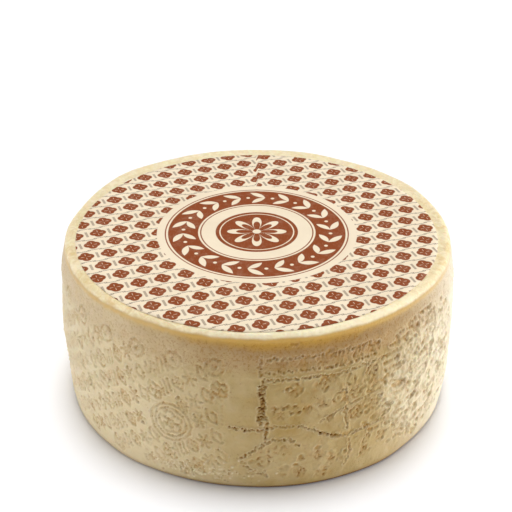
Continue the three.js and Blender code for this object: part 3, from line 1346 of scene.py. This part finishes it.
def store_numbers(mesh: bpy.types.Mesh, name: str, values: np.ndarray) -> None:
    """Stores one number, or one arrow of three, for each of a mesh's points.

    Args:
        mesh: The mesh.
        name: The attribute's name.
        values: The numbers, for all points or for the first of them, with 0 for the others.
    """
    filled = np.zeros((len(mesh.vertices), *values.shape[1:]), np.float32)
    filled[:len(values)] = values
    kind, key = ("FLOAT", "value") if values.ndim == 1 else ("FLOAT_VECTOR", "vector")
    mesh.attributes.new(name, kind, "POINT").data.foreach_set(key, filled.ravel())


def pegs_as_object(pegs: np.ndarray) -> bpy.types.Object:
    """A mesh of loose points that carries the numbers of each peg.

    Args:
        pegs: The pegs, as the marking band gives them.

    Returns:
        The object, to be removed once the rind is pressed.
    """
    mesh = bpy.data.meshes.new("band_pegs")
    mesh.from_pydata(pegs[:, :3].tolist(), [], [])
    for name, values in zip(("reach", "sink", "stain"), pegs[:, 3:].T):
        store_numbers(mesh, name, values)
    return add_object("band_pegs", mesh)


def ring_mesh(name: str, rings: np.ndarray) -> bpy.types.Mesh:
    """Skins a stack of rings into a closed body, with a point at either end.

    Args:
        name: The mesh's name.
        rings: Places by ring and column, from the lower middle outwards, up and back inwards.

    Returns:
        The mesh, its faces pointing out.
    """
    count, columns = rings.shape[:2]
    ends = (rings[0].mean(axis=0)[None], rings[-1].mean(axis=0)[None])
    vertices = np.concatenate([rings.reshape(-1, 3), *ends])
    here = np.arange(columns)
    after = (here + 1) % columns
    last = (count - 1) * columns
    faces: list[list[int]] = []
    for low in range(0, last, columns):
        high = low + columns
        faces += np.stack([low + here, low + after, high + after, high + here], -1).tolist()
    faces += np.stack([after, here, np.full(columns, last + columns)], -1).tolist()
    faces += np.stack([last + here, last + after, np.full(columns, last + columns + 1)], -1).tolist()
    mesh = bpy.data.meshes.new(name)
    mesh.from_pydata(vertices.tolist(), [], faces)
    mesh.shade_smooth()
    return mesh


# ---- Geometry Nodes that press the rind -----------------------------------------------------------
@dataclass(frozen=True)
class PressedRindTree:
    """A node tree that sinks the band's pegs, the torn plates and the grain into a smooth wheel."""

    lip_share: float = 0.5
    lip_highlight_paint: float = 0.32
    seed: float = 4.0
    sizes: tuple[str, ...] = (
        "Wander", "Plate depth", "Plate size", "Lump depth", "Lump size", "Grain depth", "Grain size"
    )

    def build(self, material: bpy.types.Material) -> bpy.types.NodeTree:
        """Builds the tree.

        Args:
            material: The rind's material.

        Returns:
            The tree, with named inputs for its sizes.
        """
        tree = bpy.data.node_groups.new("pressed_rind", "GeometryNodeTree")
        sockets = [
            ("Geometry", "OUTPUT", "Geometry"),
            ("Geometry", "INPUT", "Geometry"),
            ("Pegs", "INPUT", "Object"),
            *((name, "INPUT", "Float") for name in self.sizes),
        ]
        for name, way, kind in sockets:
            tree.interface.new_socket(name=name, in_out=way, socket_type=f"NodeSocket{kind}")
        inlet = add_node(tree, "NodeGroupInput")
        outlet = add_node(tree, "NodeGroupOutput")
        place = add_node(tree, "GeometryNodeInputPosition").outputs[0]

        def given(name: str) -> Field:
            """A named input as a field."""
            return Field(tree, inlet.outputs[name])

        def stored(name: str, kind: str = "FLOAT") -> Field:
            """A named attribute of the wheel or of the pegs."""
            node = add_node(tree, "GeometryNodeInputNamedAttribute", {"Name": name}, data_type=kind)
            return Field(tree, node.outputs[0])

        def cloud(size: Field, detail: float, shift: float) -> bpy.types.Node:
            """A noise node on the place."""
            values = {"Vector": place, "W": self.seed + shift, "Scale": size.power(-1.0), "Detail": detail}
            return add_node(tree, "ShaderNodeTexNoise", values, noise_dimensions="4D")

        def centred(size: Field, detail: float, shift: float) -> Field:
            """Noise around zero."""
            return Field(tree, cloud(size, detail, shift).outputs["Fac"]) - 0.5

        def vector(
            operation: str, first: Value, second: Value, result: str = "Vector"
        ) -> bpy.types.NodeSocket:
            """The result of a Vector Math node on two operands."""
            node = add_node(tree, "ShaderNodeVectorMath", (first, second), operation=operation)
            return node.outputs[result]

        drift = cloud(given("Wander") * 12.0, 2.0, 7.0).outputs["Color"]
        drift = vector("SCALE", vector("SUBTRACT", drift, (0.5, 0.5, 0.5)), given("Wander") * 3.0)
        moved = vector("ADD", stored("drum", "FLOAT_VECTOR"), drift)
        info = add_node(tree, "GeometryNodeObjectInfo", {"Object": inlet.outputs["Pegs"]})
        cloud_of_pegs = info.outputs["Geometry"]
        values = {"Geometry": cloud_of_pegs, "Sample Position": moved}
        nearest = add_node(tree, "GeometryNodeSampleNearest", values, domain="POINT").outputs["Index"]

        def of_peg(value: Value, kind: str = "FLOAT") -> Field:
            """A value of the nearest peg.

            Args:
                value: What is read on the pegs.
                kind: Its data type.

            Returns:
                The value as a field.
            """
            values = {"Geometry": cloud_of_pegs, "Value": value, "Index": nearest}
            node = add_node(tree, "GeometryNodeSampleIndex", values, data_type=kind, domain="POINT")
            return Field(tree, node.outputs["Value"])

        gap = vector("DISTANCE", moved, of_peg(place, "FLOAT_VECTOR"), "Value")
        away = Field(tree, gap) / of_peg(stored("reach"))
        sink = of_peg(stored("sink"))
        stain = of_peg(stored("stain"))
        dent = away.bell(0.0, 0.9)
        lip = away.bell(1.6, 0.55)
        pressed = sink * (dent - lip * self.lip_share)

        slide = stored("crumple")
        stair = centred(given("Plate size"), 2.0, 1.0) * 6.0
        tread = stair.floor()
        riser = stair - tread
        torn = tread + riser.ramp(0.0, 0.22) + centred(given("Plate size") * 0.35, 2.0, 5.0) * 1.4
        lumps = centred(given("Lump size"), 2.0, 2.0) * given("Lump depth")
        grain = centred(given("Grain size"), 3.0, 3.0) * given("Grain depth")
        side = stored("side")
        out = (torn * slide * given("Plate depth") + lumps + grain - pressed) * side

        push = vector("SCALE", add_node(tree, "GeometryNodeInputNormal").outputs[0], out)
        crack = riser.bell(0.12, 0.14) * slide * 0.5
        kept = {
            # Darker pit floors and cracks, partly stain and partly painted shade in the hollows.
            "stain": (away.bell(0.0, 0.8) * stain).most(crack) * side,
            # Pale crumbs, and a painted highlight along the lips round the pits.
            "pale": (dent * stain * -1.0).most(lip * sink.ramp(0.0, 2 * MM) * self.lip_highlight_paint) * side,
            "relief": out,
        }
        geometry = inlet.outputs["Geometry"]
        for name, value in kept.items():
            values = {"Geometry": geometry, "Name": name, "Value": value}
            store = add_node(
                tree, "GeometryNodeStoreNamedAttribute", values, data_type="FLOAT", domain="POINT"
            )
            geometry = store.outputs[0]
        shape = add_node(tree, "GeometryNodeSetPosition", {"Geometry": geometry, "Offset": push})
        whole = add_node(tree, "GeometryNodeRealizeInstances", {"Geometry": shape.outputs[0]})
        dressed = {"Geometry": whole.outputs[0], "Material": material}
        dress = add_node(tree, "GeometryNodeSetMaterial", dressed)
        feed(tree, outlet.inputs["Geometry"], dress.outputs[0])
        return tree


def apply_tree(piece: bpy.types.Object, tree: bpy.types.NodeTree, values: dict[str, object]) -> None:
    """Runs a geometry tree on a piece and keeps the result as its plain mesh.

    Args:
        piece: The piece to shape.
        tree: The tree.
        values: What the tree's named inputs are set to.
    """
    modifier = piece.modifiers.new("shape", "NODES")
    modifier.node_group = tree
    for item in tree.interface.items_tree:
        if item.in_out == "INPUT" and item.name in values:
            modifier[item.identifier] = values[item.name]
    graph = bpy.context.evaluated_depsgraph_get()
    shaped = piece.evaluated_get(graph)
    made = bpy.data.meshes.new_from_object(shaped, preserve_all_data_layers=True, depsgraph=graph)
    smooth = piece.data
    piece.modifiers.remove(modifier)
    piece.data = made
    made.name = piece.name
    bpy.data.meshes.remove(smooth)


# ---- Pieces ---------------------------------------------------------------------------------------
@dataclass
class CheeseWheel:
    """The wheel of cheese, one body with its rind.

    The mesh is a stack of rings. `front_step` and `back_step` say how the spacing of its columns in
    front compares with that behind, and it changes over the bearings of `front_reach`. The sizes from
    `wander` on go to the node tree, in metres.
    """

    form: WheelForm = field(default_factory=WheelForm)
    finish: RindFinish = field(default_factory=RindFinish)
    crumples: tuple[Crumple, ...] = (
        Crumple(52, 66, 24, 56, 1.0, 80),
        Crumple(24, 82, 18, 44, 0.4, 24),
        Crumple(14, 30, 22, 22, 0.3, 20),
        Crumple(152, 60, 22, 42, 0.9, 70),
        Crumple(-118, 68, 17, 40, 0.8, 50),
    )
    columns: int = 676
    side_rows: int = 128
    edge_rows: int = 7
    foot_rows: int = 4
    front_step: float = 0.85
    back_step: float = 2.6
    front_reach: Span = (64.0, 92.0)
    flat_radii: tuple[float, ...] = (147.5, 145, 141, 136)
    step_fade: float = 7
    relief_in: Span = (1.5, 6)
    relief_out: Span = (124, 131)
    rim_relief: float = 0.25
    top_relief: float = 0.15
    wander: float = 0.45 * MM
    plate_depth: float = 0.8 * MM
    plate_size: float = 20 * MM
    lump_depth: float = 2.2 * MM
    lump_size: float = 19 * MM
    grain_depth: float = 0.9 * MM
    grain_size: float = 5 * MM

    def profile(self) -> tuple[np.ndarray, np.ndarray, np.ndarray]:
        """Radius, height and share of side relief of each ring, from the base to the top.

        Returns:
            Three arrays, one value for each ring.
        """
        form = self.form
        side_top = form.height - form.top_edge
        foot_turn = np.linspace(0, math.pi / 2, self.foot_rows + 1)[:-1]
        levels = np.linspace(form.foot_edge, side_top, self.side_rows)
        edge_turn = np.linspace(0, math.pi / 2, self.edge_rows + 1)[1:]
        radius = np.concatenate([
            form.foot_radius - form.foot_edge * (1 - np.sin(foot_turn)),
            form.barrel_radius(levels),
            form.top_radius - form.top_edge * (1 - np.cos(edge_turn)),
            self.flat_radii,
        ])
        height = np.concatenate([
            form.foot_edge * (1 - np.cos(foot_turn)),
            levels,
            side_top + form.top_edge * np.sin(edge_turn),
            np.full(len(self.flat_radii), form.height),
        ])
        share = ease(height, *self.relief_in) * (1 - (1 - self.rim_relief) * ease(height, *self.relief_out))
        share[-len(self.flat_radii):] = np.linspace(self.top_relief, 0.0, len(self.flat_radii))
        return radius, height, share

    def column_bearings(self) -> np.ndarray:
        """The columns' bearings, set closer at the front, where the marks are finest.

        Returns:
            The bearings in degrees, from the middle of the back all the way round.
        """
        fine = np.linspace(-0.5 * FULL_TURN, 0.5 * FULL_TURN, 3601)
        step = self.front_step + (self.back_step - self.front_step) * ease(np.abs(fine), *self.front_reach)
        passed = np.concatenate([[0.0], np.cumsum(1.0 / step[1:])])
        return np.interp(np.arange(self.columns) * passed[-1] / self.columns, passed, fine)

    def crumpled(self, bearing: np.ndarray, height: np.ndarray) -> np.ndarray:
        """How far the rind is crumpled, from 0 to 1.

        Args:
            bearing: Bearings in degrees.
            height: Heights above the base.

        Returns:
            The share at each place.
        """
        crumple = np.zeros_like(bearing)
        for patch in self.crumples:
            round_way = turn_between(bearing, patch.bearing) / patch.spread
            up_way = (height - patch.height) / patch.rise
            inside = ease(1.0 - np.hypot(round_way, up_way), 0.0, 0.45)
            crumple = np.maximum(crumple, patch.strength * inside)
        return crumple

    def smooth_mesh(self, shift: Vector) -> bpy.types.Mesh:
        """The wheel with its outline, steps and stored masks, before the band is pressed in.

        Args:
            shift: How far the outline's middle is off the frame's origin.

        Returns:
            The mesh.
        """
        radius, heights, share = self.profile()
        bearing, height = np.meshgrid(self.column_bearings(), heights)
        side = np.repeat(share[:, None], self.columns, axis=1)
        reach = radius[:, None] + self.form.out_of_round(bearing, height)
        for scar in SCARS:
            away, left = scar.offsets(self.form, bearing, height)
            reach = reach + 0.5 * scar.step * left * np.exp(-away / self.step_fade) * side
        angle = np.radians(bearing)
        rings = np.stack([reach * np.sin(angle), -reach * np.cos(angle), height], -1) * MM - np.array(shift)
        mesh = ring_mesh("rind_wheel", rings)
        store_numbers(mesh, "side", side.ravel())
        store_numbers(mesh, "crumple", self.crumpled(bearing, height).ravel())
        store_numbers(mesh, "drum", self.form.drum(bearing, height).reshape(-1, 3))
        return mesh

    def build(self, shift: Vector) -> bpy.types.Object:
        """Makes the wheel and dresses it.

        Args:
            shift: How far the outline's middle is off the frame's origin.

        Returns:
            The finished piece.
        """
        wheel = add_object("rind_wheel", self.smooth_mesh(shift))
        band = MarkBand(self.form).pegs(self.crumples)
        pegs = pegs_as_object(band)
        apply_tree(wheel, PressedRindTree().build(self.finish.material()), {
            "Pegs": pegs,
            "Wander": self.wander,
            "Plate depth": self.plate_depth,
            "Plate size": self.plate_size,
            "Lump depth": self.lump_depth,
            "Lump size": self.lump_size,
            "Grain depth": self.grain_depth,
            "Grain size": self.grain_size,
        })
        bpy.data.objects.remove(pegs)
        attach(wheel, "root")
        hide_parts("cheese_wheel")
        LOG.info("wheel: %d pegs, %d faces", len(band), len(wheel.data.polygons))
        return wheel


@dataclass
class TopLabel:
    """The round paper label: a thin sheet that lies in slight waves, with one crease at the back.

    `centre` is the paper's middle, from the middle of the wheel's outline, and `nudge` brings the
    sheet a little forward of its solid.
    """

    form: WheelForm = field(default_factory=WheelForm)
    finish: PrintedPaperFinish = field(default_factory=PrintedPaperFinish)
    radius: float = 144.0
    centre: Span = (-0.6, -5.6)
    nudge: float = -1.3
    thickness: float = 0.3
    wave: float = 0.12
    crease: float = 0.22
    crease_width: float = 1.6
    crease_in: Span = (45, 80)
    flat_edge: float = 5
    columns: int = 360
    rings: int = 48

    def lift(self, x: np.ndarray, y: np.ndarray) -> np.ndarray:
        """How far the sheet stands off the top face, less what it droops over the wheel's edge.

        Args:
            x: Places across, from the sheet's middle.
            y: Places along.

        Returns:
            The extra height.
        """
        radius = np.hypot(x, y)
        slow = np.sin(x / 21 + 1.3 * np.sin(y / 34)) * np.cos(y / 26 - 0.6)
        fold = np.exp(-((np.arctan2(-x, y) * radius / self.crease_width) ** 2)) * ease(y, *self.crease_in)
        edge = 1.0 - ease(radius, self.radius - self.flat_edge, self.radius)
        flat_reach = self.form.top_radius - self.form.top_edge
        past = np.hypot(x + self.centre[0], y + self.centre[1] + self.nudge) - flat_reach
        droop = self.form.top_edge - np.sqrt(self.form.top_edge**2 - np.maximum(past, 0.0) ** 2)
        return (self.wave * (0.5 + 0.5 * slow) + self.crease * fold) * edge - droop

    def build(self, low: Vector, high: Vector) -> bpy.types.Object:
        """Makes the label and dresses it.

        Args:
            low: The lower corner of the box round the label's solid.
            high: The upper corner.

        Returns:
            The finished piece.
        """
        middle = (low + high) / 2
        reach = self.radius * np.linspace(0.0, 1.0, self.rings + 1)[1:]
        angle = np.linspace(0, 2 * math.pi, self.columns, endpoint=False)
        radii, angles = np.meshgrid(reach, angle, indexing="ij")
        x, y = radii * np.cos(angles), radii * np.sin(angles)
        under = np.stack([x, y + self.nudge, self.lift(x, y)], -1) * MM + (middle.x, middle.y, low.z)
        over = under + (0.0, 0.0, self.thickness * MM)
        sheet = add_object("paper_label", ring_mesh("paper_label", np.concatenate([under, over[::-1]])))
        sheet.data.materials.append(self.finish.material())
        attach(sheet, "root")
        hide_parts("top_label")
        LOG.info("label: %d faces", len(sheet.data.polygons))
        return sheet


# ---- Studio ---------------------------------------------------------------------------------------
@dataclass(frozen=True)
class SoftLight:
    """One rectangular soft light, aimed at the wheel."""

    name: str
    place: tuple[float, float, float]
    width: float
    depth: float
    watts: float
    aim: tuple[float, float, float] = (0.0, 0.0, 0.07)

    def build(self) -> None:
        """Adds the light."""
        data = bpy.data.lights.new(self.name, "AREA")
        data.shape = "RECTANGLE"
        data.size = self.width
        data.size_y = self.depth
        data.energy = self.watts
        lamp = add_object(self.name, data)
        lamp.location = self.place
        lamp.rotation_euler = (Vector(self.aim) - Vector(self.place)).to_track_quat("-Z", "Y").to_euler()


@dataclass(frozen=True)
class OverheadLight:
    """The main light: a soft disc high above the wheel and a little behind it."""

    towards: tuple[float, float, float] = (0.005, 0.13, 1.0)
    spread: float = math.radians(22)
    strength: float = 1.95

    def build(self) -> None:
        """Adds the light."""
        data = bpy.data.lights.new("overhead", "SUN")
        data.angle = self.spread
        data.energy = self.strength
        lamp = add_object("overhead", data)
        lamp.rotation_euler = Vector(self.towards).to_track_quat("Z", "Y").to_euler()


@dataclass
class Studio:
    """The pale floor, the sky and the lights, and a camera at the photograph's viewing angle.

    The sky goes from `sky_dim` to `sky_bright` while the cosine of the angle to `sky_middle` goes
    through `sky_edge`. The camera's focal length is in pixels of a square photograph.
    """

    floor_side: float = 24.0
    sky_middle: tuple[float, float, float] = (0.02, 0.05, 1.0)
    sky_bright: float = 0.5
    sky_dim: float = 0.08
    sky_edge: Span = (0.1, 0.8)
    eye: tuple[float, float, float] = (0.0, -0.8821, 0.6201)
    gaze: tuple[float, float, float] = (-0.0012, 0.8664, -0.4993)
    roll: float = 0.0018
    focal_pixels: float = 1248.6
    finish: FloorFinish = field(default_factory=FloorFinish)
    overhead: OverheadLight = field(default_factory=OverheadLight)
    lights: tuple[SoftLight, ...] = (
        SoftLight("left_soft", (-6.0, 0.5, 0.6), 4.2, 1.0, 112.0),
        SoftLight("right_soft", (6.0, 0.8, 0.6), 4.2, 1.0, 238.0),
        SoftLight("front_soft", (1.0, -6.5, 0.6), 5.0, 1.0, 46.0),
    )

    def build(self) -> None:
        """Adds the floor, the sky, the lights and the camera."""
        self.add_floor()
        self.add_sky()
        for light in (self.overhead, *self.lights):
            light.build()
        self.add_camera()

    def add_floor(self) -> None:
        """Lays the floor under the wheel."""
        half = self.floor_side / 2
        corners = [(-half, -half, 0), (half, -half, 0), (half, half, 0), (-half, half, 0)]
        mesh = bpy.data.meshes.new("floor")
        mesh.from_pydata(corners, [], [(0, 1, 2, 3)])
        mesh.materials.append(self.finish.material())
        floor = add_object("floor", mesh)

    def add_sky(self) -> None:
        """Surrounds the scene with white light that comes mostly from above."""
        world = bpy.data.worlds.new("studio")
        world.use_nodes = True
        tree = world.node_tree
        towards = add_node(tree, "ShaderNodeTexCoord").outputs["Generated"]
        values = (towards, Vector(self.sky_middle).normalized())
        cosine = add_node(tree, "ShaderNodeVectorMath", values, operation="DOT_PRODUCT").outputs["Value"]
        strength = Field(tree, cosine).ramp(*self.sky_edge, self.sky_dim, self.sky_bright)
        sky = tree.nodes["Background"]
        sky.inputs["Color"].default_value = (1.0, 1.0, 1.0, 1.0)
        feed(tree, sky.inputs["Strength"], strength)
        bpy.context.scene.world = world
        bpy.context.scene.view_settings.view_transform = "Standard"

    def add_camera(self) -> None:
        """Sets the camera at the photograph's viewing angle."""
        data = bpy.data.cameras.new("camera")
        data.sensor_width = SENSOR_WIDTH
        data.lens = self.focal_pixels / PHOTO_SIDE * SENSOR_WIDTH
        camera = add_object("camera", data)
        camera.location = self.eye
        aim = Vector(self.gaze).to_track_quat("-Z", "Y").to_matrix()
        camera.rotation_euler = (aim @ Matrix.Rotation(self.roll, 3, "Z")).to_euler()
        bpy.context.scene.camera = camera


def main() -> None:
    """Builds every piece in order."""
    logging.basicConfig(level=logging.INFO, format="%(name)s: %(message)s")
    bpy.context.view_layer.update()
    label = TopLabel()
    low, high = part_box("top_label")
    middle = (low + high) / 2
    shift = Vector((label.centre[0] * MM - middle.x, label.centre[1] * MM - middle.y, 0.0))
    CheeseWheel().build(shift)
    label.build(low, high)
    Studio().build()


if __name__ == "__main__":
    main()
